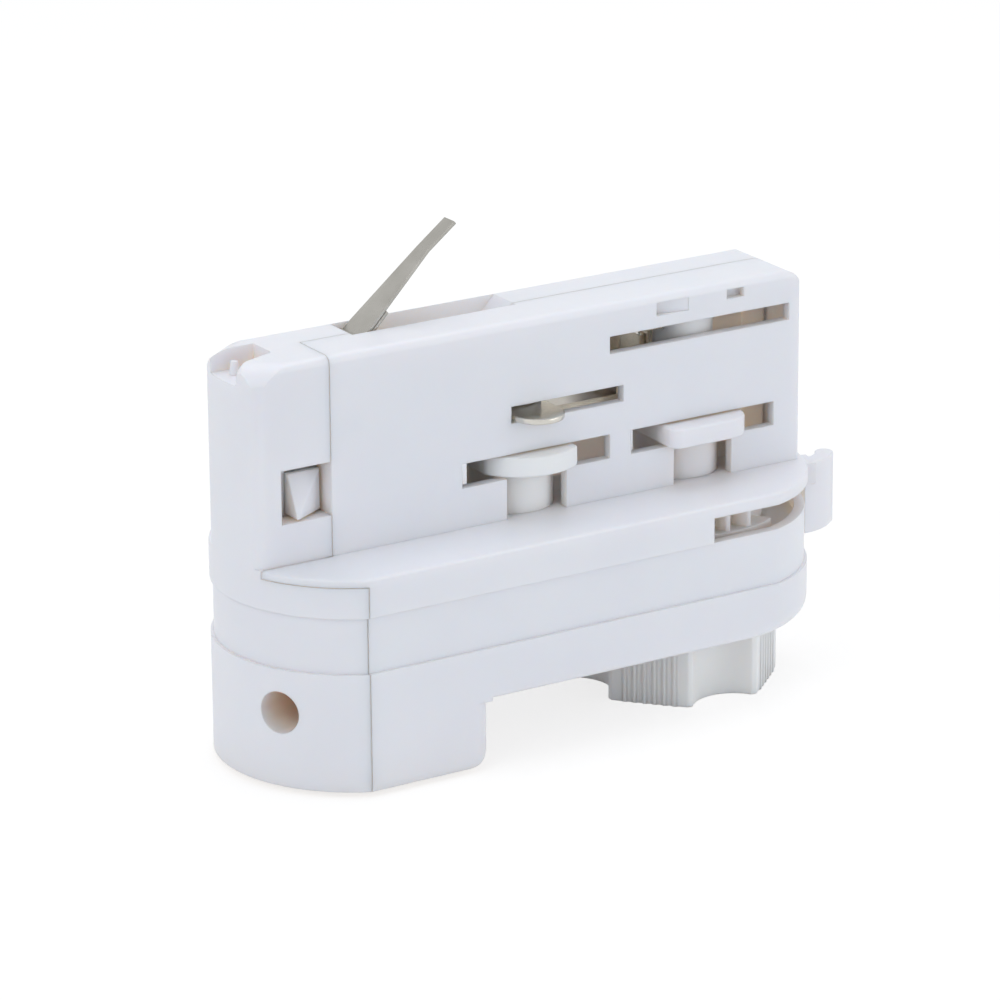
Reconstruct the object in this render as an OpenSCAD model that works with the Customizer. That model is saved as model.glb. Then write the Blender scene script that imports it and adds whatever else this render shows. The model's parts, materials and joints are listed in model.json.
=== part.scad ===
// Adapter that carries a lamp on a three-circuit lighting track. A two-part housing slides into the track,
// a lever turns two geared shafts whose wings lock under the track lips, and a knob selects the circuit.
// X runs along the track to the lever end, Y to the rear and Z up into the track.
// The origin is the stem axis at the foot.

/* [Body] */
// Width of the lower body, front to rear
body_w = 36; // [35:0.5:42]
// Bulge of the round end past half the body width
end_bulge = 1.8; // [1:0.1:3]
// Bulge of the lever end, which is round about the lever axis, past half the body width
turn_bulge = 0.8; // [0.5:0.1:2]
// Wall thickness of both shells
wall = 1.5; // [1.2:0.1:1.8]
// Open line between the two shells
seam_gap = 0.1; // [0.05:0.01:0.2]
// Shift of the box's seam from the body's seam, towards the lever
box_seam_dx = 0.8; // [0.5:0.1:1.5]
// Distance of the seam on top behind the parting plane
top_lap = 0.9; // [0.5:0.1:1.5]
// Rise of the flange's underside where it laps over the round end
lap_rise = 0.6; // [0.3:0.05:0.8]
// Depth of the recessed band round the middle of the body
band_recess = 0.45; // [0.2:0.05:0.8]

/* [Heights] */
// Height of the foot below the body
foot_h = 9.1; // [8.5:0.1:12]
// Height of the lowest band of the body
low_band_h = 7.7; // [7:0.1:10]
// Height of the recessed band
mid_band_h = 8; // [7:0.1:10]
// Height of the slot that the lever swings in
lever_gap = 3.75; // [3.4:0.05:5]
// Thickness of the flange that seats on the track
flange_t = 1.75; // [1.4:0.05:2.5]
// Height of the box that goes into the track
box_h = 28.1; // [27.5:0.1:31]
// Thickness of the deck under the gears
deck_t = 1.5; // [1.2:0.1:2]

/* [Foot] */
// Reach of the foot past the stem axis
foot_reach = 11; // [10:0.1:13]
// Rounding of the lower edge of the foot
foot_r = 3.75; // [2:0.25:5]
// Rounding of the upright edges of the foot
foot_side_r = 2.5; // [1:0.25:4]
// Rounding of the lower edge of the lever end
heel_r = 2.5; // [1:0.25:3]

/* [Track box] */
// Thickness of the box that goes into the track
box_t = 14; // [13.6:0.1:15]
// Reach of the box past the lever axis
box_reach = 16.5; // [16:0.1:17]
// Rounding of the upright edges at the round end
box_edge_r = 2; // [1:0.1:3]
// Rounding of the long top edges
box_top_r = 1.2; // [0.5:0.1:1.4]
// Rounding of the top corner at the lever end
box_nose_r = 3; // [1:0.25:4]
// Rounding of the top edge at the round end
box_tail_r = 2.5; // [1:0.25:3]
// Rounding of the two top corners at the round end
box_corner_r = 4; // [2:0.25:5]
// Rounding of the upright edges at the lever end
box_end_r = 0.6; // [0.3:0.1:1.5]

/* [Shafts and gears] */
// Distance from the stem axis to the cam axis
cam_x = 25.2; // [25:0.1:28]
// Distance between the cam axis and the lever axis
axis_gap = 27.5; // [27:0.1:28.5]
// Number of teeth on a full gear circle
gear_teeth = 25; // [23:1:27]
// Radius of the two locking shafts
shaft_r = 6; // [5.6:0.1:6.4]
// Radius of the selector shaft inside the lever
core_r = 3.2; // [2.8:0.1:3.6]
// Thickness of the plate under the lever's teeth
disc_t = 1.3; // [1:0.1:1.4]
// Play between meshing teeth
backlash = 0.2; // [0.15:0.05:0.3]

/* [Locking wings] */
// Height of the wing slots above the flange
wing_slot_z = 5.8; // [5.5:0.1:7]
// Opening of the wing slots
wing_slot_h = 3.5; // [3.2:0.1:4]
// Reach of the lever's wings from their axis
wing_reach = 10; // [9.5:0.1:10.4]
// Width of the lever's wings
wing_w = 13.4; // [12:0.1:13.6]
// Rounding of the leading corner of each lever wing
wing_lead_r = 1.6; // [1:0.1:3]
// Rounding of the trailing corner of each lever wing
wing_trail_r = 3.6; // [2:0.1:4.5]
// Radius of the rounded lobes on the cam
lobe_r = 8.9; // [8.4:0.1:9]
// Offset of each lobe along the track
lobe_dx = 0.9; // [0.6:0.1:1.5]
// Offset of each lobe across the track
lobe_dy = 0.6; // [0.4:0.1:1]
// Distance from the cam axis to the flat side of a lobe
lobe_flat = 6.2; // [5.4:0.1:6.6]
// Half width of the slot that each shaft shows through
stem_half = 4.85; // [4.5:0.05:5.5]
// Room between the tip of a folded wing and the end of its slot
slot_spare = 2; // [1.6:0.05:2.4]

/* [Contacts] */
// Height of the neutral slot above the flange
neutral_z = 13.7; // [13.5:0.1:15]
// Opening of the neutral slot
neutral_h = 2.4; // [2:0.1:3]
// Height of the phase slot above the flange
phase_z = 20.9; // [20.5:0.1:22]
// Opening of the phase slot
phase_h = 2.5; // [2.2:0.1:3]
// Reach of the neutral tongue from its axis
neutral_reach = 11; // [10:0.1:11.4]
// Width of the neutral tongue
neutral_w = 7.4; // [6.4:0.1:7.6]
// Reach of the phase tongue from its axis
phase_reach = 9; // [8:0.1:10.4]
// Width of the phase tongue
phase_w = 6; // [5:0.1:6.6]
// Thickness of the contact metal
contact_t = 0.8; // [0.6:0.05:1]
// Thickness of the conductor strips
strip_t = 0.6; // [0.5:0.05:0.7]
// Width of the upright leg of each strip
leg_w = 2; // [1.6:0.1:2.2]
// Height of the two long strips
run_h = 4.1; // [3:0.1:4.2]
// Width of the neutral strip's shelf
shelf_w = 2.4; // [1.6:0.1:3]

/* [Lever handle] */
// Direction of the handle at rest, from the long axis
handle_turn = -13; // [-16:0.5:-10]
// Outer radius of the curved finger
finger_r = 7.85; // [7:0.05:9]
// Thickness of the finger
finger_t = 2.4; // [2:0.1:3]
// Length of the finger, as an angle on its curve
finger_sweep = 54; // [40:1:60]
// Height of the finger
finger_h = 10.5; // [8:0.1:12]
// Radius of the bead at the finger's tip
bead_r = 1.35; // [1.25:0.05:1.6]
// Width of the arm that carries the finger
arm_w = 4.2; // [3.5:0.1:5]

/* [Selector knob] */
// Radius to the corners of the knob
knob_r = 14.7; // [13:0.1:15.5]
// Direction of the first corner
knob_turn = 19; // [0:0.5:44]
// How far the knob stands below the foot
knob_drop = 0.8; // [0:0.1:1.5]
// Gap between the knob and the body
knob_gap = 0.4; // [0.3:0.05:0.6]
// Depth of the finger hollows
hollow_d = 2.5; // [1:0.1:3]
// Width of the finger hollows
hollow_w = 9.6; // [8:0.1:10]
// Number of ribs on each gripping side
rib_count = 6; // [4:1:7]
// Spacing of the ribs
rib_pitch = 1.45; // [1.2:0.05:1.5]
// Radius of each rib
rib_r = 0.5; // [0.4:0.05:0.6]
// How far each rib stands out
rib_out = 0.25; // [0.15:0.05:0.35]
// Radius of the neck through the floor
neck_r = 5; // [4.5:0.1:6]
// Radius of the detent wheel
wheel_r = 9; // [8:0.1:10]
// Height of the detent wheel
wheel_h = 3; // [2.5:0.1:4]

/* [Stem] */
// Radius of the threaded stem bore
stem_r = 4.5; // [4:0.1:4.8]
// Radius of the stem bush
bush_r = 7; // [6.5:0.1:7.5]
// Height of the stem bush
bush_h = 14; // [13.6:0.1:14.5]
// Radius of the collar that traps the bush
collar_r = 8.2; // [8:0.1:8.6]
// Radius of the key hole to the set screw
key_r = 3; // [2.6:0.1:3.2]
// Height of the set screw above the foot
key_z = 10.6; // [10.2:0.1:10.8]
// Direction of the set screw, from the round end towards the front
key_turn = 28; // [20:1:35]
// Radius of the set screw
set_r = 2; // [1.5:0.1:2.5]

/* [Latch] */
// Width of the latch window, from the seam
latch_w = 7.65; // [7.2:0.05:8]
// Height of the latch window above the flange
latch_z = 5.8; // [5.5:0.1:7]
// Opening of the latch window
latch_h = 7.6; // [7:0.1:8.5]
// Height of the latch nose
nose_h = 5.8; // [5:0.1:6.5]
// Width of the latch nose that shows in the window
nose_w = 5.3; // [4.5:0.1:6]
// Depth of the latch nose's two sloped faces
nose_slope = 2.8; // [2:0.1:3]
// How far the nose stands out of the box
nose_out = 0.2; // [0:0.05:0.6]
// Depth of the latch's guide block
guide_d = 3; // [2.5:0.1:4]
// Travel of the latch
latch_travel = 2; // [1:0.1:2.2]

/* [Earth spring] */
// Distance from the stem axis to the root of the earth spring
earth_x = 1.5; // [1.2:0.1:2.5]
// Distance of the spring's middle behind the parting plane
earth_y = 2.9; // [2.7:0.05:3.2]
// Depth of the spring's trough
trough_d = 2.8; // [2.6:0.1:3.2]
// Length of the trough from the spring's root
trough_len = 24.9; // [23.5:0.1:27]
// Radius of the rolled root
root_r = 0.9; // [0.7:0.05:1.1]
// Thickness of the spring
leaf_t = 0.5; // [0.4:0.05:0.7]
// Width of the spring at its root
leaf_w = 5.2; // [4.5:0.1:5.4]
// Width of the spring from its bend to its tip
leaf_tip_w = 2.6; // [2:0.1:3.5]
// Length from the root to the bend
leaf_len = 16.2; // [14:0.1:16.5]
// Length from the bend to the tip
leaf_tip_len = 5.4; // [4:0.1:5.6]
// Length of the second leaf under the first
leaf_back_len = 6; // [4:0.1:8]
// Gap between the two leaves
leaf_gap = 0.08; // [0.05:0.01:0.1]
// Slope of the spring before its bend
leaf_slope = 42.5; // [42:0.5:46]
// Slope of the spring after its bend
leaf_tip_slope = 37.5; // [32:0.5:40]

/* [Terminals] */
// Distance between terminals
pole_pitch = 3.9; // [3.8:0.05:4.1]
// Distance from the stem axis to the middle terminal
pole_x = 10.7; // [10.5:0.1:10.9]
// Width of each terminal clamp
clamp_w = 3.2; // [3:0.1:3.4]
// Radius of each terminal screw
pole_screw_r = 1; // [0.8:0.05:1.2]
// Radius of the shank of each housing screw
screw_r = 1.1; // [0.9:0.05:1.4]
// Radius of the head of each housing screw
screw_head_r = 2.2; // [1.8:0.1:2.4]

/* [Clearances] */
// Radial running fit of a shaft in its hole
run_fit = 0.05; // [0.02:0.01:0.1]
// Gap between pieces that move past each other
move_gap = 0.3; // [0.25:0.05:0.35]
// Gap between pieces that are seated in each other
seat_gap = 0.1; // [0.05:0.01:0.15]

/* [Hidden] */
$fn = 72;
// Overshoot of a cutting shape past the face that it cuts
over = 1;
half_w = body_w / 2;
end_r = half_w + end_bulge;
seam_x = -sqrt(end_r * end_r - half_w * half_w);
box_seam_x = seam_x + box_seam_dx;
lever_x = cam_x + axis_gap;
turn_r = half_w + turn_bulge;
body_end = lever_x + turn_r;
box_end = lever_x + box_reach;
box_half = box_t / 2;
box_in = box_half - wall;
arc_lap = 0.02;
// Middle of each rounded upright edge at the round end, and the direction that its top corner faces
edge_y = box_half - box_edge_r;
edge_x = -sqrt(pow(end_r + arc_lap - box_edge_r, 2) - edge_y * edge_y);
edge_turn = (90 + atan(-edge_y / edge_x)) / 2;
edge_out = edge_y * sin(edge_turn) - edge_x * cos(edge_turn) + box_edge_r;
// Top edges of the box, as direction, distance from the stem axis and rounding
top_edges = [[0, box_end, box_nose_r], [180, end_r, box_tail_r],
             [90, box_half, box_top_r], [-90, box_half, box_top_r],
             [180 - edge_turn, edge_out, box_corner_r], [180 + edge_turn, edge_out, box_corner_r]];
room_inset = band_recess + wall;
room_x0 = seam_x + wall;
reach = body_end + end_r + body_w;

// Levels from the foot up
z_low = foot_h + low_band_h;
z_mid = z_low + mid_band_h;
z_under = z_mid + lever_gap;
z_flange = z_under + flange_t;
z_top = z_flange + box_h;
z_floor = foot_h + wall;
z_deck = z_mid + seat_gap - disc_t - move_gap;

// Gears
tooth_module = axis_gap / gear_teeth;
pitch_r = axis_gap / 2;
pitch_angle = 360 / gear_teeth;
pressure_angle = 20;
tip_r = pitch_r + tooth_module;
dedendum = 1.25;
tooth_root_r = pitch_r - dedendum * tooth_module;
base_r = pitch_r * cos(pressure_angle);
disc_spare = 0.85;
disc_r = half_w - room_inset - disc_spare;
flank_steps = 5;
lever_first_tooth = -1;
lever_last_tooth = 7;
cam_first_tooth = -8;
cam_last_tooth = 1;
cam_middle = pitch_angle / 2;
// Reach of the lever's plate and of the cam's sector past their outer teeth, counted in teeth
disc_lap = 1.3;
sector_lap = 0.4;
z_disc = z_deck + move_gap;
z_disc_top = z_disc + disc_t;
z_teeth_top = z_under - move_gap;
z_cam_gear = z_disc_top + move_gap;
cam_pin_r = 3;

// Wings and slots
slot_half = wing_reach + slot_spare;
z_wing = z_flange + wing_slot_z + move_gap;
wing_t = wing_slot_h - 2 * move_gap;
z_wing_top = z_wing + wing_t;
z_wing_slot_top = z_flange + wing_slot_z + wing_slot_h;
collar_rise = 0.4;
z_collar_top = z_wing_top + collar_rise;
phase_slot_left = 15.5;
phase_slot_right = 14.5;
neutral_spare = 0.35;
neutral_slot_left = neutral_w / 2 + neutral_spare;
neutral_slot_right = 14.25;

// Contacts
strip_y = box_in - seat_gap - strip_t;
barrel_r = strip_y - move_gap - seat_gap;
carrier_r = box_in - move_gap;
z_neutral = z_flange + neutral_z + move_gap;
barrel_rise = 1.1;
z_barrel_top = z_flange + neutral_z + neutral_h + barrel_rise;
z_neutral_run = z_wing_slot_top + seat_gap;
run_lap = 1;
z_phase_run = z_barrel_top - run_lap;
run_spare = 1.5;
z_phase = z_flange + phase_z + (phase_h - contact_t) / 2;
z_carrier = z_collar_top + move_gap;
z_carrier_top = z_top - wall - move_gap;
core_drop = 1.2;
z_core_top = z_phase - core_drop;
ring_t = 0.6;
ring_h = 2.2;

// Lever handle, measured from the lever axis
finger_gap = 1.7;
finger_in_r = turn_r + finger_gap;
finger_start = -95;
z_arm = z_mid + move_gap;
z_finger = z_teeth_top - finger_h;
lever_slot_left = 5.4;
lever_slot_rear = 6;

// Selector
z_knob_top = foot_h - knob_gap;
z_wheel = z_floor + move_gap;
knob_sides = 8;
side_step = 360 / knob_sides;
notch_r = 2.5;
notch_out = 0.9;
notch_x = wheel_r + notch_out;
detent_half = 8;
detent_t = 0.5;
post_w = 3;

// Stem
boss_r = collar_r + wall;
collar_z = 3;
collar_h = 2;
set_len = 4;
socket_wall = 0.9;

// Latch
latch_edge = box_seam_x - latch_w;
latch_x1 = box_seam_x + seam_gap / 2;
latch_lip = 0.8;
z_latch = z_flange + latch_z;
pillar_w = 6.7;
pillar_x1 = latch_x1 + pillar_w;
nose_x0 = box_seam_x - nose_w;
nose_x1 = latch_x1 - move_gap;
nose_base = 1.7;
guide_y0 = -box_in + move_gap + nose_base;
coil_y0 = guide_y0 + guide_d;
coil_r = 2;
coil_wire_r = 0.3;
// As many turns as still leave the latch its travel when they are pressed together
coil_turns = floor((box_in - coil_y0 - latch_travel) / (2 * coil_wire_r)) - 1;
coil_steps = 14;
coil_sides = 6;

// Earth spring
z_trough = z_top - trough_d;
z_root = z_trough + move_gap + root_r;
trough_x0 = earth_x - root_r - move_gap;
trough_y1 = earth_y + leaf_w / 2 + move_gap;

// Terminals
pole_xs = [pole_x - pole_pitch, pole_x, pole_x + pole_pitch];
block_side = 0.4;
block_half_x = pole_pitch + clamp_w / 2 + block_side;
block_y0 = -3.5;
clamp_front = 0.8;
block_back = 1.6;
block_y1 = strip_y + strip_t + block_back;
z_block_top = z_deck - deck_t - move_gap;
clamp_floor = 1.2;
clamp_roof = 0.9;
z_clamp = bush_h + clamp_floor;
clamp_h = z_block_top - z_clamp - clamp_roof;
clamp_t = 0.6;
clamp_y0 = block_y0 + clamp_front;
pole_head_lip = 0.4;
pole_head_h = 1.2;
pole_head_out = 0.6;
pole_screw_len = 5;
pole_slot_w = 0.4;
pole_slot_d = 0.5;

// Screws that hold the shells together, as X and Z
low_screw_dx = 5.7;
low_screw_dz = 2.3;
top_screw_dx = 3;
top_screw_dz = 17.7;
screw_places = [[lever_x - wheel_r - low_screw_dx, z_floor + low_screw_dz],
                [pillar_x1 - top_screw_dx, z_flange + top_screw_dz]];
screw_boss_r = 3;
screw_seat_y = 3;
screw_len = 8;
screw_head_h = 1.5;
cross_w = 0.6;
cross_d = 0.8;
cross_len = 3;

// Marks left by the snap hooks near the top of the front shell
hook_back = 7.8;
hook_x = lever_x - hook_back;
hook_w = 5.3;
hook_rise = 25.1;
hook_z = z_flange + hook_rise;
hook_h = 1.85;
hook_fwd = 3.9;
hook_hole_x = lever_x + hook_fwd;
hook_hole_w = 2.9;
hook_step = 0.5;
hook_floor = 0.4;
hook_lip = 0.1;

// Notch in the top of the round end
notch_back = 4.55;
notch_end_x = seam_x - notch_back;
notch_y0 = -0.9;
notch_y1 = 3.9;
notch_flare = 2.9;
notch_d = 3;
well_d = 3;
peg_back = 4.2;
peg_y = 1.7;
peg_r = 0.9;
peg_taper = 0.4;
peg_h = 1.8;

// Extrudes a plan from one height to another
module rise(z0, z1) {
    translate([0, 0, z0]) linear_extrude(z1 - z0) children();
}

// Extrudes a side view, drawn as X and Z, from front to rear
module across(y0, y1) {
    translate([0, y1, 0]) rotate([90, 0, 0]) linear_extrude(y1 - y0) children();
}

// Extrudes an end view, drawn as Y and Z, along the track
module along(x0, x1) {
    translate([x0, 0, 0]) rotate([90, 0, 90]) linear_extrude(x1 - x0) children();
}

// A plain block between two corners
module block(low, high) {
    translate(low) cube(high - low);
}

// The piece outside a rounded corner, to be cut away
module corner_waste(r) {
    difference() {
        square(r + over);
        circle(r);
    }
}

// A wedge from the axis, wider than any gear, between two angles
module wedge(a0, a1) {
    steps = 6;
    polygon(concat([[0, 0]], [for (i = [0:steps]) let (a = a0 + (a1 - a0) * i / steps)
        2 * body_w * [cos(a), sin(a)]]));
}

// Outline of the body seen from above: two flat sides between arcs about the stem axis and the lever axis
module body_plan(inset = 0) {
    side = half_w - inset;
    intersection() {
        circle(end_r - inset);
        translate([-end_r, -side]) square([end_r, 2 * side]);
    }
    translate([-over, -side]) square([lever_x + over, 2 * side]);
    translate([lever_x, 0]) intersection() {
        circle(turn_r - inset);
        translate([-over, -side]) square([turn_r + over, 2 * side]);
    }
}

// Side view of the body: foot and flange
module body_side() {
    difference() {
        translate([-end_r - over, 0]) square([body_end + end_r + 2 * over, z_flange]);
        translate([foot_reach, -over]) square([reach, foot_h + over]);
        translate([foot_reach - foot_r, foot_r]) rotate(-90) corner_waste(foot_r);
    }
}

// The piece outside the rounded lower edge, to be cut away: round the lever end and along both sides
module heel_waste() {
    translate([lever_x, 0, 0]) intersection() {
        rotate_extrude() heel_corner();
        block([0, -reach, -over], [reach, reach, z_top]);
    }
    for (s = [0, 1]) mirror([0, s, 0]) along(foot_reach, lever_x) heel_corner();
}

// Section of that piece, measured out from the lever axis
module heel_corner() {
    translate([turn_r - heel_r, foot_h + heel_r]) rotate(-90) corner_waste(heel_r);
}

module body_outer() {
    difference() {
        intersection() {
            union() {
                rise(0, z_low) body_plan();
                rise(z_low - over, z_mid + over) body_plan(band_recess);
                rise(z_mid, z_flange) body_plan();
            }
            across(-body_w, body_w) body_side();
        }
        heel_waste();
        for (s = [0, 1]) mirror([0, s, 0])
            translate([foot_reach - foot_side_r, half_w - foot_side_r, 0])
                rise(-over, foot_h) corner_waste(foot_side_r);
    }
}

// Outline of the track box seen from above, with its round end on the body's own arc.
// Each rounded edge laps a hair past that arc, so that the two curves cross.
module box_plan() {
    middle_y = edge_y * end_r / (end_r - box_edge_r);
    intersection() {
        circle(end_r);
        translate([-end_r, -middle_y]) square([end_r, 2 * middle_y]);
    }
    translate([edge_x, -box_half]) square([box_end - box_end_r - edge_x, box_t]);
    translate([edge_x, box_end_r - box_half]) square([box_end - edge_x, box_t - 2 * box_end_r]);
    for (s = [-1, 1]) {
        translate([edge_x, s * edge_y]) circle(box_edge_r);
        translate([box_end - box_end_r, s * (box_half - box_end_r)]) circle(box_end_r);
    }
}

// All that lies under a rounded top edge, which faces one way at a distance from the stem axis
module under_edge(turn, out, r) {
    rotate(turn) across(-reach, reach) difference() {
        translate([-reach, 0]) square([reach + out + over, z_top]);
        translate([out - r, z_top - r]) corner_waste(r);
    }
}

module box_outer() {
    intersection() {
        rise(z_under, z_top) box_plan();
        intersection_for (e = top_edges) under_edge(e[0], e[1], e[2]);
    }
}

// Plan of the hollow inside the body
module room_plan() {
    intersection() {
        body_plan(room_inset);
        translate([room_x0, -body_w]) square([reach, 2 * body_w]);
    }
}

module lower_room() {
    difference() {
        rise(z_floor, z_deck - deck_t) room_plan();
        cylinder(r = boss_r, h = bush_h);
        block([-over, block_y0, 0], [pole_x + block_half_x, block_y1, bush_h]);
        for (p = screw_places) translate([p[0], 0, p[1]])
            rotate([90, 0, 0]) cylinder(r = screw_boss_r, h = 2 * body_w, center = true);
        detent_posts();
    }
}

// Slotted posts that hold the ends of the detent spring
module detent_posts() {
    for (s = [-1, 1]) translate([lever_x - notch_x, s * detent_half, 0])
        difference() {
            rise(0, z_wheel + wheel_h) square(post_w, center = true);
            rise(z_floor, z_top) square([detent_t + 2 * seat_gap, post_w + over], center = true);
        }
}

module box_room() {
    difference() {
        block([pillar_x1, -box_in, z_flange], [box_end - wall, box_in, z_top - wall]);
        block([-over + trough_x0, -box_t, z_trough - wall], [earth_x + trough_len + wall, box_t, z_top]);
    }
}

// The line from the stem axis out to the key hole, as Z
module key_way() {
    rotate(180 + key_turn) translate([0, 0, key_z]) rotate([0, 90, 0]) children();
}

// Holes for the shafts, the strips and the stem
module bearings() {
    for (x = [cam_x, lever_x]) translate([x, 0, 0])
        rise(z_under - over, z_flange + over) circle(shaft_r + run_fit);
    translate([cam_x, 0, 0]) rise(z_deck - deck_t - over, z_deck + over) circle(cam_pin_r + run_fit);
    translate([lever_x, 0, 0]) {
        rise(z_deck - deck_t - over, z_deck + over) circle(core_r + move_gap);
        rise(foot_h - over, z_floor + over) circle(neck_r + run_fit);
    }
    for (x = pole_xs)
        block([x - leg_w / 2 - move_gap, strip_y - move_gap, z_deck - deck_t - over],
              [x + leg_w / 2 + move_gap, box_in, z_flange + over]);
    rise(-over, bush_h + over) circle(bush_r + seat_gap);
    rise(collar_z - seat_gap, collar_z + collar_h + seat_gap) circle(collar_r + seat_gap);
    key_way() cylinder(r = key_r, h = end_r + over);
}

// Slot for a shaft and its wings through one side of the box
module wing_slot(x) {
    block([x - slot_half, 0, z_flange + wing_slot_z], [x + slot_half, box_half + over, z_wing_slot_top]);
    block([x - stem_half, 0, z_flange], [x + stem_half, box_half + over, z_wing_slot_top]);
}

// Slots that both sides of the box have
module side_slots() {
    wing_slot(cam_x);
    wing_slot(lever_x);
    block([lever_x - phase_slot_left, 0, z_flange + phase_z],
          [lever_x + phase_slot_right, box_half + over, z_flange + phase_z + phase_h]);
}

module front_openings() {
    mirror([0, 1, 0]) side_slots();
    block([cam_x - neutral_slot_left, -box_half - over, z_flange + neutral_z],
          [cam_x + neutral_slot_right, 0, z_flange + neutral_z + neutral_h]);
    block([hook_hole_x, -box_half - over, hook_z + hook_step],
          [hook_hole_x + hook_hole_w, -box_in - hook_floor, hook_z + hook_h]);
    rise(hook_z, hook_z + hook_h)
        polygon([[hook_x, -box_in - hook_floor], [hook_x, -box_half - over],
                 [hook_x + hook_w, -box_half - over], [hook_x + hook_w, -box_half + hook_lip]]);
}

// Swing room for the lever, open at the front and round the lever end
module lever_slot() {
    block([lever_x - lever_slot_left, -half_w - over, z_mid], [body_end + over, lever_slot_rear, z_under]);
}

// Window for the latch's nose, and the wider room behind it that keeps the latch in
module latch_room() {
    block([latch_edge, -box_half - over, z_latch], [latch_x1, guide_y0, z_latch + latch_h]);
    block([latch_edge - latch_lip, guide_y0 - seat_gap, z_latch - latch_lip],
          [latch_x1, box_in, z_latch + latch_h + latch_lip]);
}

module earth_trough() {
    across(0, trough_y1) polygon([[trough_x0, z_trough], [earth_x + trough_len - trough_d, z_trough],
        [earth_x + trough_len + over, z_top + over], [trough_x0, z_top + over]]);
}

// Notch in the top of the round end, with a well and a tapered peg in its floor
module end_notch() {
    mouth_x = -end_r - over;
    z_notch = z_top - notch_d;
    peg_x = notch_end_x - peg_back;
    difference() {
        union() {
            rise(z_notch, z_top + over) polygon([[notch_end_x, notch_y0], [notch_end_x, notch_y1],
                [mouth_x, notch_y1], [mouth_x, notch_y0 - notch_flare]]);
            block([peg_x, peg_y, z_notch - well_d], [notch_end_x - wall, notch_y1 - wall / 2, z_top]);
        }
        translate([peg_x, peg_y, z_notch - well_d - over])
            cylinder(r1 = peg_r + peg_taper, r2 = peg_r - peg_taper, h = well_d + over + peg_h);
    }
}

module screw_holes() {
    for (p = screw_places) translate([p[0], 0, p[1]]) rotate([90, 0, 0]) {
        translate([0, 0, -body_w]) cylinder(r = screw_head_r + move_gap, h = body_w - screw_seat_y);
        translate([0, 0, -screw_seat_y - over]) cylinder(r = screw_r + seat_gap, h = screw_len + 2 * over);
    }
}

// The whole housing before it is parted
module housing() {
    difference() {
        union() {
            body_outer();
            box_outer();
        }
        lower_room();
        rise(z_deck, z_under) room_plan();
        box_room();
        bearings();
        front_openings();
        side_slots();
        lever_slot();
        latch_room();
        earth_trough();
        end_notch();
        screw_holes();
    }
}

// The space on the front side of the parting line, which also takes the flange over the round end
module front_side(gap) {
    block([box_seam_x + gap, -body_w, -over], [reach, -gap, z_top + over]);
    block([box_seam_x + gap, -over, z_trough - wall + gap], [reach, top_lap - gap, z_top + over]);
    block([seam_x + gap, -body_w, -over], [box_seam_x + over, -gap, z_flange - gap]);
    block([-reach, -body_w, z_under + lap_rise + gap], [box_seam_x + over, -box_half - gap, z_flange + over]);
}

module front_shell() {
    color("white") intersection() {
        housing();
        front_side(seam_gap);
    }
}

module rear_shell() {
    color("white") difference() {
        housing();
        front_side(0);
    }
}

// Angle between the tooth's middle and its flank at a radius
function roll(r) = let (a = acos(base_r / r)) tan(a) * 180 / PI - a;
function half_tooth(r) = (90 - backlash / tooth_module * 90 / PI) / gear_teeth
    + roll(pitch_r) - roll(max(r, base_r));

// One involute tooth that points along X
module tooth() {
    low_r = tooth_root_r - tooth_module / 2;
    radii = concat([low_r], [for (i = [0:flank_steps]) base_r + (tip_r - base_r) * i / flank_steps]);
    flank = [for (r = radii) r * [cos(half_tooth(r)), sin(half_tooth(r))]];
    count = len(flank);
    polygon(concat([for (p = flank) [p[0], -p[1]]], [for (i = [1:count]) flank[count - i]]));
}

module teeth(first, last, middle) {
    for (i = [first:last]) rotate(middle + i * pitch_angle) tooth();
}

// Plan of the curved finger and its arm, measured from the lever axis
module finger_plan() {
    middle_r = finger_r - finger_t / 2;
    rotate(handle_turn) translate([finger_in_r, 0]) rotate(-handle_turn) translate([0, finger_r]) {
        intersection() {
            difference() {
                circle(finger_r);
                circle(finger_r - finger_t);
            }
            rotate(finger_start) wedge(0, finger_sweep);
        }
        rotate(finger_start + finger_sweep) translate([middle_r, 0]) circle(bead_r);
    }
}

// Plan of both lever wings
module wing_plan() {
    difference() {
        square([wing_w, 2 * wing_reach], center = true);
        for (a = [0, 180]) rotate(a) {
            translate([wing_lead_r - wing_w / 2, wing_lead_r - wing_reach])
                rotate(180) corner_waste(wing_lead_r);
            translate([wing_w / 2 - wing_trail_r, wing_trail_r - wing_reach])
                rotate(-90) corner_waste(wing_trail_r);
        }
    }
}

module lock_lever() {
    bore = core_r + run_fit;
    first = 180 + (lever_first_tooth - disc_lap) * pitch_angle;
    last = 180 + (lever_last_tooth + disc_lap) * pitch_angle;
    color("white") translate([lever_x, 0, 0]) difference() {
        union() {
            rise(z_disc, z_disc_top) {
                circle(tooth_root_r);
                intersection() {
                    circle(disc_r);
                    wedge(first, last);
                }
            }
            rise(z_disc, z_teeth_top) circle(tooth_root_r);
            rise(z_disc_top - disc_t / 2, z_teeth_top) teeth(lever_first_tooth, lever_last_tooth, 180);
            rise(z_arm, z_teeth_top) rotate(handle_turn) square([finger_in_r + finger_t / 2, arm_w]);
            rise(z_finger, z_teeth_top) finger_plan();
            rise(z_disc, z_wing_top) circle(shaft_r);
            rise(z_wing, z_collar_top) circle(barrel_r);
            rise(z_wing, z_wing_top) wing_plan();
        }
        rise(0, z_top) circle(bore);
    }
}

// Plan of one rounded lobe of the cam, towards the front
module lobe_plan() {
    intersection() {
        translate([lobe_dx, -lobe_dy]) circle(lobe_r);
        translate([-box_half, -body_w]) square([box_half + lobe_flat, body_w]);
    }
}

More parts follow.
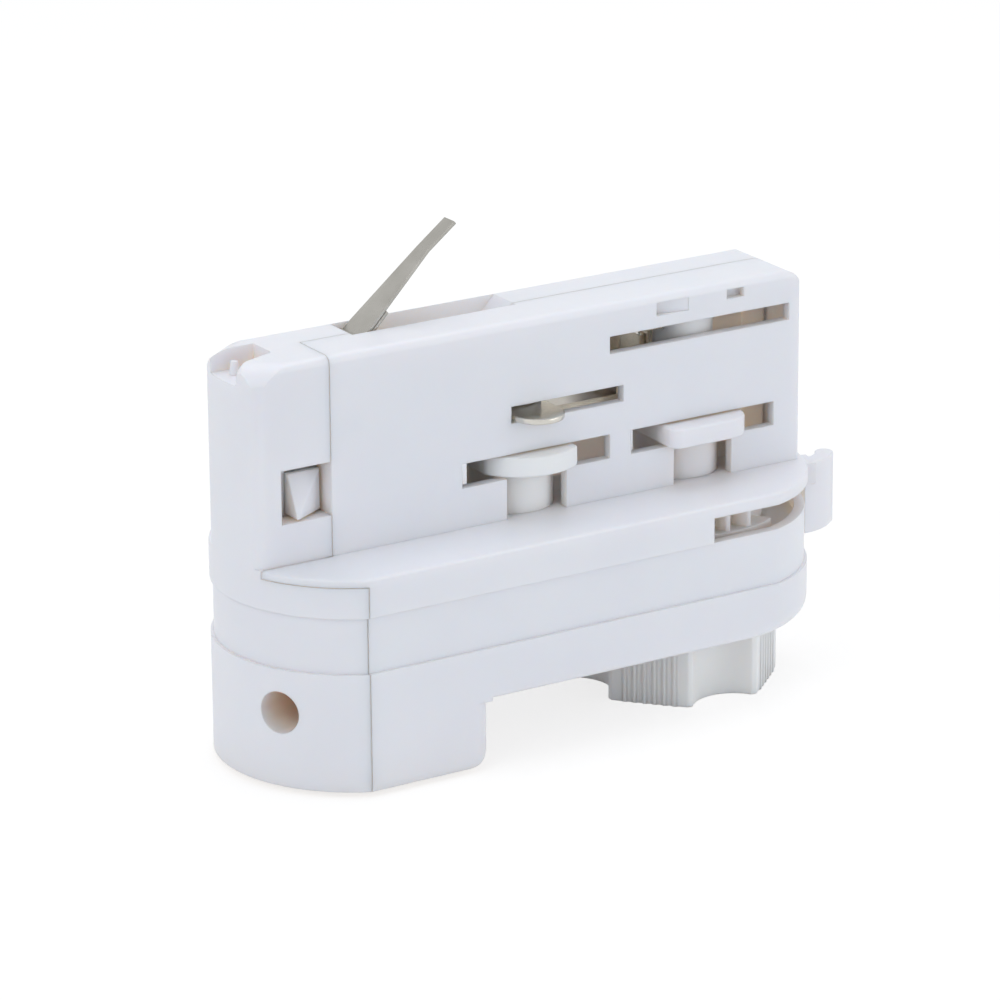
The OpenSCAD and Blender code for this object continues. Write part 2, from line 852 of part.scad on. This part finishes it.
// The ring, leg and tongue of a turning contact, with the tongue along X
module turning_contact(ring_r, z_ring, z_tongue, width, length) {
    rise(z_ring, z_ring + ring_h) difference() {
        circle(ring_r);
        circle(ring_r - ring_t);
    }
    rise(z_ring, z_tongue + contact_t) intersection() {
        difference() {
            circle(ring_r);
            circle(ring_r - ring_t);
        }
        translate([0, -width / 4]) square([ring_r, width / 2]);
    }
    rise(z_tongue, z_tongue + contact_t) {
        translate([-width / 4, -width / 2]) square([length - width / 4, width]);
        translate([length - width / 2, 0]) circle(width / 2);
    }
}

// The space that a turning contact takes in the piece that carries it
module contact_seat(ring_r, z_ring, z_tongue, width) {
    inner_r = ring_r - ring_t - seat_gap;
    rise(z_ring - seat_gap, z_ring + ring_h + seat_gap) difference() {
        circle(ring_r + over);
        circle(inner_r);
    }
    rise(z_ring, z_tongue + contact_t + seat_gap) intersection() {
        difference() {
            circle(ring_r + over);
            circle(inner_r);
        }
        translate([0, -width / 4 - seat_gap]) square([ring_r + over, width / 2 + 2 * seat_gap]);
    }
    rise(z_tongue - seat_gap, z_tongue + contact_t + seat_gap)
        translate([-width / 4 - seat_gap, -width / 2 - seat_gap])
            square([body_w, width + 2 * seat_gap]);
}

module driven_cam() {
    first = cam_middle + (cam_first_tooth - sector_lap) * pitch_angle;
    last = cam_middle + (cam_last_tooth + sector_lap) * pitch_angle;
    color("ghostwhite") translate([cam_x, 0, 0]) difference() {
        union() {
            rise(z_deck - deck_t, z_cam_gear + over) circle(cam_pin_r);
            rise(z_deck + move_gap, z_wing_top) circle(shaft_r);
            rise(z_cam_gear, z_teeth_top) {
                intersection() {
                    circle(tooth_root_r);
                    wedge(first, last);
                }
                teeth(cam_first_tooth, cam_last_tooth, cam_middle);
            }
            rise(z_wing, z_wing_top) for (a = [0, 180]) rotate(a) lobe_plan();
            rise(z_wing, z_barrel_top) circle(barrel_r);
        }
        rotate(-90) contact_seat(barrel_r, z_neutral_run + seat_gap, z_neutral, neutral_w);
    }
}

module neutral_contact() {
    color("silver") translate([cam_x, 0, 0]) rotate(-90)
        turning_contact(barrel_r, z_neutral_run + seat_gap, z_neutral, neutral_w, neutral_reach);
}

// Plan of the knob: an octagon with ribbed sides between finger hollows
module knob_plan() {
    side_r = knob_r * cos(side_step / 2);
    hollow_r = (hollow_w * hollow_w / 4 + hollow_d * hollow_d) / (2 * hollow_d);
    rib_x = side_r + rib_out - rib_r;
    rotate(knob_turn) difference() {
        union() {
            circle(knob_r, $fn = knob_sides);
            for (i = [0:2:knob_sides - 1], k = [0:rib_count - 1])
                rotate((i + 0.5) * side_step) translate([rib_x, (k - (rib_count - 1) / 2) * rib_pitch])
                    circle(rib_r);
        }
        for (i = [1:2:knob_sides - 1])
            rotate((i + 0.5) * side_step) translate([side_r + hollow_r - hollow_d, 0]) circle(hollow_r);
    }
}

module selector_knob() {
    color("ivory") translate([lever_x, 0, 0]) {
        rise(-knob_drop, z_knob_top) knob_plan();
        rise(z_knob_top - over, z_wheel + over) circle(neck_r);
        rise(z_wheel, z_wheel + wheel_h) difference() {
            circle(wheel_r);
            for (i = [0:knob_sides - 1]) rotate(i * side_step) translate([notch_x, 0]) circle(notch_r);
        }
        rise(z_wheel, z_core_top) circle(core_r);
    }
}

module contact_carrier() {
    color("ivory") translate([lever_x, 0, 0]) difference() {
        rise(z_carrier, z_carrier_top) circle(carrier_r);
        rise(z_carrier - over, z_core_top + seat_gap) circle(core_r + seat_gap);
        rotate(180) contact_seat(carrier_r, z_phase_run, z_phase, phase_w);
    }
}

module phase_contact() {
    slit = contact_t / 4;
    color("silver") translate([lever_x, 0, 0]) rotate(180) difference() {
        turning_contact(carrier_r, z_phase_run, z_phase, phase_w, phase_reach);
        block([carrier_r, -phase_w, z_phase + (contact_t - slit) / 2],
              [phase_reach + over, phase_w, z_phase + (contact_t + slit) / 2]);
    }
}

module latch_plunger() {
    z0 = z_latch + move_gap;
    nose_y = -box_half - nose_out;
    back_y = nose_y + nose_slope;
    color("white") {
        difference() {
            rise(z0, z0 + nose_h) polygon([[nose_x0, nose_y], [nose_x1, back_y],
                [nose_x1, guide_y0 + over], [nose_x0, guide_y0 + over]]);
            along(nose_x0 - over, nose_x1 + over) polygon([[nose_y - over, z0], [nose_y, z0],
                [back_y, z0 + nose_h], [back_y, z0 + nose_h + over], [nose_y - over, z0 + nose_h + over]]);
        }
        block([latch_edge - latch_lip + move_gap, guide_y0, z0 - latch_lip],
              [nose_x1, coil_y0, z_latch + latch_h + latch_lip - move_gap]);
    }
}

// A ring of points round the coil's wire, at a turn of the coil
function wire_ring(a, y) = [for (k = [0:coil_sides - 1])
    let (b = 360 * k / coil_sides, r = coil_r + coil_wire_r * cos(b))
    [r * cos(a), y + coil_wire_r * sin(b), r * sin(a)]];

module latch_spring() {
    sides = coil_sides;
    steps = coil_steps * coil_turns;
    y0 = coil_y0 + seat_gap + coil_wire_r;
    y1 = box_in - seat_gap - coil_wire_r;
    rings = [for (i = [0:steps]) wire_ring(360 * i / coil_steps, y0 + (y1 - y0) * i / steps)];
    points = [for (ring = rings, p = ring) p];
    walls = [for (i = [0:steps - 1], k = [0:sides - 1]) let (n = (k + 1) % sides)
        [i * sides + k, (i + 1) * sides + k, (i + 1) * sides + n, i * sides + n]];
    ends = [[for (k = [0:sides - 1]) k], [for (k = [1:sides]) (steps + 1) * sides - k]];
    color("silver") translate([(latch_edge + nose_x1) / 2, 0, z_latch + latch_h / 2])
        polyhedron(points, concat(walls, ends));
}

module earth_spring() {
    bend = leaf_len * [cos(leaf_slope), sin(leaf_slope)];
    tip = bend + leaf_tip_len * [cos(leaf_tip_slope), sin(leaf_tip_slope)];
    low_half = leaf_t / 2 * [-sin(leaf_slope), cos(leaf_slope)];
    tip_half = leaf_t / 2 * [-sin(leaf_tip_slope), cos(leaf_tip_slope)];
    bend_half = (low_half + tip_half) / 2;
    taper_x = 2 * root_r;
    color("silver") translate([earth_x, earth_y, z_root]) intersection() {
        union() {
            across(-leaf_w, leaf_w) circle(root_r);
            across(-leaf_w, leaf_w) polygon([low_half, bend + bend_half, tip + tip_half,
                tip - tip_half, bend - bend_half, -low_half]);
            across(-leaf_w, leaf_w) rotate(leaf_slope)
                translate([0, -leaf_t / 2 - leaf_gap - leaf_t]) square([leaf_back_len, leaf_t]);
        }
        rise(-body_w, body_w) polygon([[-root_r - over, -leaf_w / 2], [taper_x, -leaf_w / 2],
            [bend[0], -leaf_tip_w / 2], [reach, -leaf_tip_w / 2], [reach, leaf_tip_w / 2],
            [bend[0], leaf_tip_w / 2], [taper_x, leaf_w / 2], [-root_r - over, leaf_w / 2]]);
    }
}

// A strip that stands against the rear wall: a leg in its terminal and a run along the box
module strip(pole, z_run, run_end) {
    x0 = pole_xs[pole] - leg_w / 2;
    across(strip_y, strip_y + strip_t) {
        translate([x0, z_clamp + seat_gap]) square([leg_w, z_run + run_h - z_clamp - seat_gap]);
        translate([min(x0, run_end), z_run]) square([abs(run_end - x0), run_h]);
    }
}

module earth_strip() {
    color("silver") strip(0, z_trough - wall - seat_gap - run_h, trough_x0);
}

// The neutral strip also crosses to the front, and comes back as a shelf under the neutral slot
module neutral_strip() {
    x1 = lever_x - carrier_r - run_spare;
    z1 = z_neutral_run + run_h;
    color("silver") {
        strip(2, z_neutral_run, x1);
        rise(z1 - strip_t, z1) difference() {
            translate([cam_x + barrel_r + move_gap, -strip_y - strip_t])
                square([x1 - cam_x - barrel_r - move_gap, 2 * (strip_y + strip_t)]);
            translate([-reach, shelf_w - strip_y - strip_t]) square([reach + x1 - shelf_w, body_w]);
        }
    }
}

module phase_strip() {
    x1 = lever_x - carrier_r - move_gap;
    color("silver") {
        strip(1, z_phase_run, x1);
        block([x1 - strip_t, 0, z_phase_run], [x1, strip_y + strip_t, z_phase_run + run_h]);
    }
}

// The space that one terminal clamp takes, with a gap all round
module clamp_space(gap) {
    block([-clamp_w / 2 - gap, clamp_y0 - gap, z_clamp - gap],
          [clamp_w / 2 + gap, strip_y + strip_t + seat_gap + clamp_t + gap, z_clamp + clamp_h + gap]);
}

module terminal_block() {
    color("ivory") difference() {
        block([pole_x - block_half_x, block_y0, bush_h], [pole_x + block_half_x, block_y1, z_block_top]);
        for (x = pole_xs) translate([x, 0, 0]) {
            clamp_space(seat_gap);
            block([-leg_w / 2 - seat_gap, strip_y - seat_gap, z_clamp],
                  [leg_w / 2 + seat_gap, strip_y + strip_t + seat_gap, z_top]);
            pole_screw(move_gap, over);
        }
    }
}

module terminal_clamps() {
    inner_w = clamp_w / 2 - clamp_t;
    color("silver") for (x = pole_xs) translate([x, 0, 0]) difference() {
        clamp_space(0);
        block([-inner_w, clamp_y0 + clamp_t, z_clamp - over],
              [inner_w, strip_y + strip_t + seat_gap, z_top]);
        pole_screw(seat_gap, over);
    }
}

// A terminal screw that points to the rear, with room round it
module pole_screw(gap, extra) {
    translate([0, block_y0, z_clamp + clamp_h / 2]) rotate([-90, 0, 0]) {
        translate([0, 0, -pole_head_out - extra])
            cylinder(r = pole_screw_r + pole_head_lip + gap, h = pole_head_h + extra);
        cylinder(r = pole_screw_r + gap, h = pole_screw_len + gap);
    }
}

module terminal_screws() {
    slot_y = block_y0 - pole_head_out + pole_slot_d;
    slot_z = z_clamp + (clamp_h - pole_slot_w) / 2;
    color("silver") for (x = pole_xs) translate([x, 0, 0]) difference() {
        pole_screw(0, 0);
        block([-clamp_w, slot_y - over, slot_z], [clamp_w, slot_y, slot_z + pole_slot_w]);
    }
}

module housing_screws() {
    head_y = screw_seat_y + screw_head_h;
    color("silver") for (p = screw_places) translate([p[0], head_y, p[1]]) rotate([90, 0, 0]) difference() {
        union() {
            cylinder(r = screw_head_r, h = screw_head_h - seat_gap);
            cylinder(r = screw_r, h = screw_head_h + screw_len);
        }
        for (a = [0, 90]) rotate(a) cube([cross_len, cross_w, 2 * cross_d], center = true);
    }
}

module stem_bush() {
    color("silver") difference() {
        union() {
            rise(0, bush_h) circle(bush_r);
            rise(collar_z, collar_z + collar_h) circle(collar_r);
        }
        rise(-over, bush_h + over) circle(stem_r);
        key_way() cylinder(r = set_r + run_fit, h = end_r);
    }
}

module set_screw() {
    color("dimgray") key_way() translate([0, 0, stem_r]) difference() {
        cylinder(r = set_r, h = set_len);
        translate([0, 0, set_len / 2]) cylinder(r = set_r - socket_wall, h = set_len, $fn = 6);
    }
}

module detent_spring() {
    bump_r = notch_r - move_gap;
    z0 = z_floor + seat_gap;
    half_len = detent_half + post_w / 2;
    color("silver") translate([lever_x - notch_x, 0, 0]) rise(z0, z_wheel + wheel_h) difference() {
        union() {
            intersection() {
                circle(bump_r);
                translate([-detent_t / 2, -half_len]) square([half_len, 2 * half_len]);
            }
            square([detent_t, 2 * half_len], center = true);
        }
        circle(bump_r - detent_t);
    }
}

front_shell();
rear_shell();
lock_lever();
driven_cam();
neutral_contact();
selector_knob();
contact_carrier();
phase_contact();
latch_plunger();
latch_spring();
earth_spring();
earth_strip();
neutral_strip();
phase_strip();
terminal_block();
terminal_clamps();
terminal_screws();
housing_screws();
stem_bush();
set_screw();
detent_spring();
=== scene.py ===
"""Looks of the track light adapter: edge rounding, finishes, floor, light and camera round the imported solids."""

import json
import math

import bpy
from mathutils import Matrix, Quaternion, Vector


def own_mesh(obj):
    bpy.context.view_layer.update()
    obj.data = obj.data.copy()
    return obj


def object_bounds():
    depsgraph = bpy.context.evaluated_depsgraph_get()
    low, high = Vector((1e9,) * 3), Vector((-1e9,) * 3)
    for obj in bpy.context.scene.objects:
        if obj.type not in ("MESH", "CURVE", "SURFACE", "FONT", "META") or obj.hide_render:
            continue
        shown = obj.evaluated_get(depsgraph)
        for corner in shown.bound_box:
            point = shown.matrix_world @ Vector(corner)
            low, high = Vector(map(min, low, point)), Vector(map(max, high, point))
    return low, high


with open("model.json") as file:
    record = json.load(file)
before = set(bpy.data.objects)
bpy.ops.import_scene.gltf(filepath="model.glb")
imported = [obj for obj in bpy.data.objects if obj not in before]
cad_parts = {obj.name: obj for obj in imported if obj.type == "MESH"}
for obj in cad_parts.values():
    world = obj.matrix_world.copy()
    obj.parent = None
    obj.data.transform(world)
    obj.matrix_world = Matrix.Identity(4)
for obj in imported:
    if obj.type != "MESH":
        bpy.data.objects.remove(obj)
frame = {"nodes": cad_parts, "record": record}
cad_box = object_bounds()
nodes = frame["nodes"]

MM = 0.001

# Camera, fitted to the edges of the object in the photograph
CAMERA_EYE = Vector((-349.84, -601.19, 271.11)) * MM
CAMERA_TARGET = Vector((28.69, 0.0, 28.04)) * MM
CAMERA_ROLL = math.radians(-0.30)
CAMERA_LENS = 194.1
CAMERA_SENSOR = 36.0
CAMERA_SHIFT = (-0.0314, 0.0106)

# Edges
SHARP_ANGLE = math.radians(28)
FLAT_ANGLE = math.radians(0.05)
WELD_DISTANCE = 0.002 * MM
BEVEL_SEGMENTS = 3
EDGE_SHADE = 0.2 * MM

# Plastic: how far a surface looks for walls around it, how open it is where a cavity starts and where it is deep,
# and how far light runs inside the material on the outside and in a cavity
# The cavity depth also sets where the painted warm glow goes, painted light in place of light through the walls
CAVITY_REACH = 14 * MM
CAVITY_START, CAVITY_DEEP = 0.42, 0.08
SCATTER_LENGTHS = (2.5 * MM, 9.0 * MM)
PLASTIC_IOR = 1.49

# Fineness of the marks on the surfaces, in marks per metre
FLOW_MARKS = 55
GLOSS_SPOTS = 700
SKIN_GRAIN = 4200
METAL_CLOUDS = 160

# Height of the relief on the surfaces, as its strength and its depth
SKIN_RELIEF = (0.06, 0.02 * MM)
METAL_RELIEF = (0.05, 0.01 * MM)

# Floor and surroundings
FLOOR_HALF = 3.0
FLOOR_GAP = 0.02 * MM
FLOOR_PALE = (0.92, 0.92, 0.92, 1.0)
FLOOR_SHADED = (0.32, 0.32, 0.32, 1.0)
FLOOR_GLOW = 0.74
WHITE = (1.0, 1.0, 1.0, 1.0)
SKY_COLOUR = (0.96, 0.98, 1.0, 1.0)
SKY_LIGHT = 0.52


def add_node(tree, kind, inputs=None, **settings):
    """A new node with its settings, and with a value or a link for each named input."""
    node = tree.nodes.new(kind)
    for key, value in settings.items():
        setattr(node, key, value)
    for key, value in (inputs or {}).items():
        if isinstance(value, bpy.types.NodeSocket):
            tree.links.new(value, node.inputs[key])
        else:
            node.inputs[key].default_value = value
    return node


def geometry_group(name):
    """An empty geometry node group with its input and output, and the input's geometry."""
    tree = bpy.data.node_groups.new(name, "GeometryNodeTree")
    tree.interface.new_socket("Geometry", in_out="INPUT", socket_type="NodeSocketGeometry")
    tree.interface.new_socket("Geometry", in_out="OUTPUT", socket_type="NodeSocketGeometry")
    start = tree.nodes.new("NodeGroupInput")
    end = tree.nodes.new("NodeGroupOutput")
    return tree, start.outputs["Geometry"], end.inputs["Geometry"]


def weld_group():
    """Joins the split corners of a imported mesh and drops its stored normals."""
    tree, mesh, out = geometry_group("weld")
    plain = add_node(tree, "GeometryNodeSetMeshNormal", {"Mesh": mesh}, mode="SHARPNESS")
    merged = add_node(tree, "GeometryNodeMergeByDistance",
                      {"Geometry": plain.outputs["Mesh"], "Distance": WELD_DISTANCE})
    tree.links.new(merged.outputs["Geometry"], out)
    return tree


def weight_group(name, share, zones):
    """Marks sharp edges with a share of the bevel: the piece's own, or that of a zone between two corners."""
    tree, mesh, out = geometry_group(name)
    angle = add_node(tree, "GeometryNodeInputMeshEdgeAngle").outputs["Unsigned Angle"]
    sharp = add_node(tree, "ShaderNodeMath", {0: angle, 1: SHARP_ANGLE}, operation="GREATER_THAN")
    position = add_node(tree, "GeometryNodeInputPosition").outputs["Position"]
    place = add_node(tree, "ShaderNodeSeparateXYZ", {0: position})
    for low, high, zone_share in zones:
        inside = None
        for axis in range(3):
            for limit, test in ((low[axis], "GREATER_THAN"), (high[axis], "LESS_THAN")):
                if limit is None:
                    continue
                passed = add_node(tree, "ShaderNodeMath", {0: place.outputs[axis], 1: limit * MM}, operation=test)
                if inside is None:
                    inside = passed.outputs[0]
                else:
                    both = add_node(tree, "ShaderNodeMath", {0: inside, 1: passed.outputs[0]}, operation="MULTIPLY")
                    inside = both.outputs[0]
        share = add_node(tree, "ShaderNodeMapRange",
                         {"Value": inside, "To Min": share, "To Max": zone_share}).outputs["Result"]
    weight = add_node(tree, "ShaderNodeMath", {0: sharp.outputs[0], 1: share}, operation="MULTIPLY").outputs[0]
    stored = add_node(tree, "GeometryNodeStoreNamedAttribute",
                      {"Geometry": mesh, "Name": "bevel_weight_edge", "Value": weight},
                      data_type="FLOAT", domain="EDGE")
    tree.links.new(stored.outputs["Geometry"], out)
    return tree


def smooth_group():
    """Shades everything smooth but the edges that stay sharp."""
    tree, mesh, out = geometry_group("smooth")
    angle = add_node(tree, "GeometryNodeInputMeshEdgeAngle").outputs["Unsigned Angle"]
    soft = add_node(tree, "FunctionNodeCompare", {0: angle, 1: SHARP_ANGLE}, operation="LESS_THAN")
    faces = add_node(tree, "GeometryNodeSetShadeSmooth", {"Geometry": mesh}, domain="FACE")
    edges = add_node(tree, "GeometryNodeSetShadeSmooth",
                     {"Geometry": faces.outputs["Geometry"], "Shade Smooth": soft.outputs[0]}, domain="EDGE")
    tree.links.new(edges.outputs["Geometry"], out)
    return tree


WELD = weld_group()
SMOOTH = smooth_group()


def round_edges(name, width, share=1.0, zones=()):
    """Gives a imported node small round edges, width in millimetres, by modifiers alone."""
    piece = nodes[name]
    weld = piece.modifiers.new("weld", "NODES")
    weld.node_group = WELD
    flat = piece.modifiers.new("whole_faces", "DECIMATE")
    flat.decimate_type = "DISSOLVE"
    flat.angle_limit = FLAT_ANGLE
    weights = piece.modifiers.new("edge_shares", "NODES")
    weights.node_group = weight_group(name + "_edges", share, zones)
    bevel = piece.modifiers.new("round_edges", "BEVEL")
    bevel.limit_method = "WEIGHT"
    bevel.width = width * MM
    bevel.segments = BEVEL_SEGMENTS
    bevel.use_clamp_overlap = False
    bevel.miter_outer = "MITER_ARC"
    smooth = piece.modifiers.new("smooth", "NODES")
    smooth.node_group = SMOOTH
    normals = piece.modifiers.new("face_normals", "WEIGHTED_NORMAL")
    normals.keep_sharp = True


def new_material(name):
    """A material's tree and its main shader."""
    material = bpy.data.materials.new(name)
    material.use_nodes = True
    return material, material.node_tree, material.node_tree.nodes["Principled BSDF"]


def noise(tree, scale, detail=2.0, stretch=(1, 1, 1)):
    """Noise in the part's own frame, with features of about 1 / scale metres."""
    place = add_node(tree, "ShaderNodeTexCoord").outputs["Object"]
    mapped = add_node(tree, "ShaderNodeMapping", {"Vector": place, "Scale": stretch})
    return add_node(tree, "ShaderNodeTexNoise",
                    {"Vector": mapped.outputs["Vector"], "Scale": scale, "Detail": detail}).outputs["Fac"]


def spread(tree, value, low, high):
    """Maps noise, which stays mostly between 0.3 and 0.7, to a range."""
    ends = {"From Min": 0.3, "From Max": 0.7, "To Min": low, "To Max": high}
    return add_node(tree, "ShaderNodeMapRange", {"Value": value, **ends}).outputs["Result"]


def mix_colour(tree, factor, first, second):
    """One colour or the other, by a factor."""
    mixed = add_node(tree, "ShaderNodeMix", data_type="RGBA")
    for socket, value in ((mixed.inputs[0], factor), (mixed.inputs[6], first), (mixed.inputs[7], second)):
        if isinstance(value, bpy.types.NodeSocket):
            tree.links.new(value, socket)
        else:
            socket.default_value = value
    return mixed.outputs[2]


def bump(tree, height, strength, distance):
    """Relief on a surface whose sharp edges are shaded as slightly round."""
    edges = add_node(tree, "ShaderNodeBevel", {"Radius": EDGE_SHADE}, samples=2).outputs["Normal"]
    return add_node(tree, "ShaderNodeBump",
                    {"Height": height, "Strength": strength, "Distance": distance, "Normal": edges}).outputs["Normal"]


def plastic(name, light, dark, painted_glow, gloss, scatter, radius):
    """Moulded plastic: faint flow marks, a fine grain, and in cavities a painted warm glow, colour that stands in for
    light through the walls.

    Scatter is the share of light that enters the material, on the outside and in a cavity.
    """
    material, tree, shader = new_material(name)
    flow = spread(tree, noise(tree, FLOW_MARKS, 3.0), 0.0, 1.0)
    skin = mix_colour(tree, flow, light, dark)
    shade = add_node(tree, "ShaderNodeAmbientOcclusion", {"Distance": CAVITY_REACH}, samples=3)
    depth = add_node(tree, "ShaderNodeMapRange",
                     {"Value": shade.outputs["AO"], "From Min": CAVITY_START, "From Max": CAVITY_DEEP,
                      "To Min": 0.0, "To Max": 1.0}, interpolation_type="SMOOTHSTEP")
    # Painted light: the warm glow colour is mixed into the base colour by cavity depth, in place of light through the
    # walls
    tree.links.new(mix_colour(tree, depth.outputs["Result"], skin, painted_glow), shader.inputs["Base Color"])
    for socket, (outside, inside) in (("Subsurface Weight", scatter), ("Subsurface Scale", SCATTER_LENGTHS)):
        share = add_node(tree, "ShaderNodeMapRange",
                         {"Value": depth.outputs["Result"], "To Min": outside, "To Max": inside})
        tree.links.new(share.outputs["Result"], shader.inputs[socket])
    rough = spread(tree, noise(tree, GLOSS_SPOTS), *gloss)
    tree.links.new(rough, shader.inputs["Roughness"])
    grain = bump(tree, noise(tree, SKIN_GRAIN), *SKIN_RELIEF)
    tree.links.new(grain, shader.inputs["Normal"])
    shader.inputs["IOR"].default_value = PLASTIC_IOR
    shader.inputs["Subsurface Radius"].default_value = radius
    return material


def metal(name, light, dark, gloss, lines, stretch):
    """Rolled or turned metal: fine lines along one direction, with a slow change of tone."""
    material, tree, shader = new_material(name)
    cloud = spread(tree, noise(tree, METAL_CLOUDS, 3.0), 0.0, 1.0)
    tree.links.new(mix_colour(tree, cloud, light, dark), shader.inputs["Base Color"])
    brushed = noise(tree, lines, 3.0, stretch)
    tree.links.new(spread(tree, brushed, *gloss), shader.inputs["Roughness"])
    tree.links.new(bump(tree, brushed, *METAL_RELIEF), shader.inputs["Normal"])
    shader.inputs["Metallic"].default_value = 1.0
    return material


def srgb(red, green, blue):
    """A colour as it is seen, from 0 to 255, in the shader's linear values."""
    shares = (red / 255, green / 255, blue / 255)
    linear = [c / 12.92 if c <= 0.04045 else ((c + 0.055) / 1.055) ** 2.4 for c in shares]
    return (*linear, 1.0)


# The third colour of each plastic is its painted warm glow in cavities, standing in for light through the walls
FINISHES = {
    "housing": plastic("housing_white", srgb(234, 236, 243), srgb(231, 233, 241), srgb(249, 229, 213),
                       (0.36, 0.46), (0.45, 1.0), (1.0, 0.74, 0.6)),
    "nylon": plastic("natural_nylon", srgb(240, 243, 245), srgb(236, 239, 242), srgb(250, 238, 228),
                     (0.42, 0.52), (0.4, 1.0), (1.0, 0.8, 0.65)),
    "contact": metal("nickel_plate", srgb(214, 211, 204), srgb(204, 201, 193), (0.16, 0.26), 900, (1, 6, 6)),
    "spring_steel": metal("spring_steel", srgb(178, 176, 171), srgb(160, 158, 152), (0.26, 0.38), 1400, (1, 9, 1)),
    "steel": metal("zinc_plate", srgb(172, 174, 176), srgb(150, 152, 154), (0.3, 0.42), 1200, (3, 3, 3)),
}

for row in frame["record"]["subparts"]:
    piece = nodes[row["node"]]
    piece.data.materials.clear()
    piece.data.materials.append(FINISHES[row["material_slot"]])

# Edge rounding in millimetres, then the share of it that most edges take and the zones with another share: the
# flange's rim outside the box, and the wings above the flange. The shells' other edges are only shaded as round.
RIM = (((None, None, 30.2), (None, -7.3, 30.4), 1.0), ((None, 7.3, 30.2), (None, None, 30.4), 1.0),
       ((69.3, -7.3, 30.2), (None, 7.3, 30.4), 1.0))
WINGS = (((None, None, 28.4), (None, None, None), 1.0),)
EDGES = {
    "front_shell": (0.45, 0.0, RIM),
    "rear_shell": (0.45, 0.0, RIM),
    "lock_lever": (0.4, 0.4, WINGS),
    "driven_cam": (0.35, 0.3, WINGS),
    "neutral_contact": (0.18,),
    "selector_knob": (0.2,),
    "contact_carrier": (0.15,),
    "phase_contact": (0.06,),
    "latch_plunger": (0.15,),
    "earth_spring": (0.06,),
    "neutral_strip": (0.08,),
    "earth_strip": (0.08,),
    "phase_strip": (0.08,),
    "terminal_block": (0.1,),
    "terminal_clamps": (0.08,),
    "terminal_screws": (0.08,),
    "housing_screws": (0.12,),
    "stem_bush": (0.25,),
    "set_screw": (0.12,),
    "detent_spring": (0.08,),
}
for name, rounding in EDGES.items():
    round_edges(name, *rounding)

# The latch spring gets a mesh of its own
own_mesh(nodes["latch_spring"])


def seen_rays(tree):
    """1 for rays that show a surface as it is: straight from the camera, mirrored or let through."""
    path = add_node(tree, "ShaderNodeLightPath")
    mirrored = add_node(tree, "ShaderNodeMath",
                        {0: path.outputs["Is Camera Ray"], 1: path.outputs["Is Glossy Ray"]}, operation="MAXIMUM")
    return add_node(tree, "ShaderNodeMath",
                    {0: mirrored.outputs[0], 1: path.outputs["Is Transmission Ray"]}, operation="MAXIMUM").outputs[0]


def make_floor():
    """A pale floor that looks white in the background and still takes the object's shadow."""
    corners = [(x * FLOOR_HALF, y * FLOOR_HALF, 0) for x, y in ((-1, -1), (1, -1), (1, 1), (-1, 1))]
    mesh = bpy.data.meshes.new("floor")
    mesh.from_pydata(corners, [], [(0, 1, 2, 3)])
    floor = bpy.data.objects.new("floor", mesh)
    bpy.context.scene.collection.objects.link(floor)
    floor.location.z = cad_box[0][2] - FLOOR_GAP
    material, tree, shader = new_material("pale_floor")
    tree.nodes.remove(shader)
    plain = add_node(tree, "ShaderNodeBsdfDiffuse", {"Color": FLOOR_PALE})
    faint = add_node(tree, "ShaderNodeBsdfDiffuse", {"Color": FLOOR_SHADED})
    glow = add_node(tree, "ShaderNodeEmission", {"Color": WHITE, "Strength": FLOOR_GLOW})
    white = add_node(tree, "ShaderNodeAddShader", {0: faint.outputs[0], 1: glow.outputs[0]})
    mixed = add_node(tree, "ShaderNodeMixShader", {0: seen_rays(tree), 1: plain.outputs[0], 2: white.outputs[0]})
    tree.links.new(mixed.outputs[0], tree.nodes["Material Output"].inputs["Surface"])
    mesh.materials.append(material)


def make_world():
    """Even soft light from all round, which shows as white behind the floor."""
    world = bpy.data.worlds.new("studio")
    bpy.context.scene.world = world
    world.use_nodes = True
    tree = world.node_tree
    light = tree.nodes["Background"]
    light.inputs["Color"].default_value = SKY_COLOUR
    light.inputs["Strength"].default_value = SKY_LIGHT
    white = add_node(tree, "ShaderNodeBackground", {"Color": WHITE, "Strength": 1.0})
    mixed = add_node(tree, "ShaderNodeMixShader", {0: seen_rays(tree), 1: light.outputs[0], 2: white.outputs[0]})
    tree.links.new(mixed.outputs[0], tree.nodes["World Output"].inputs["Surface"])


def make_lamp(name, place, size, power):
    """A square soft box, placed in millimetres from the middle of the object, that faces it."""
    middle = (Vector(cad_box[0]) + Vector(cad_box[1])) / 2
    data = bpy.data.lights.new(name, "AREA")
    data.shape = "SQUARE"
    data.size = size * MM
    data.energy = power
    lamp = bpy.data.objects.new(name, data)
    lamp.location = middle + Vector(place) * MM
    lamp.rotation_mode = "QUATERNION"
    lamp.rotation_quaternion = (middle - lamp.location).to_track_quat("-Z", "Y")
    bpy.context.scene.collection.objects.link(lamp)


def make_camera():
    """The photograph's own view."""
    data = bpy.data.cameras.new("camera")
    data.lens = CAMERA_LENS
    data.sensor_width = CAMERA_SENSOR
    data.shift_x, data.shift_y = CAMERA_SHIFT
    camera = bpy.data.objects.new("camera", data)
    camera.location = CAMERA_EYE
    camera.rotation_mode = "QUATERNION"
    aim = (CAMERA_TARGET - CAMERA_EYE).to_track_quat("-Z", "Y")
    camera.rotation_quaternion = aim @ Quaternion((0, 0, 1), CAMERA_ROLL)
    bpy.context.scene.collection.objects.link(camera)
    bpy.context.scene.camera = camera


make_floor()
make_world()
make_lamp("key", (-640, -180, 480), 520, 1.6)
make_lamp("top", (120, 160, 800), 600, 2.2)
make_lamp("fill", (480, -560, 140), 520, 1.4)
make_camera()
bpy.context.scene.view_settings.view_transform = "Standard"
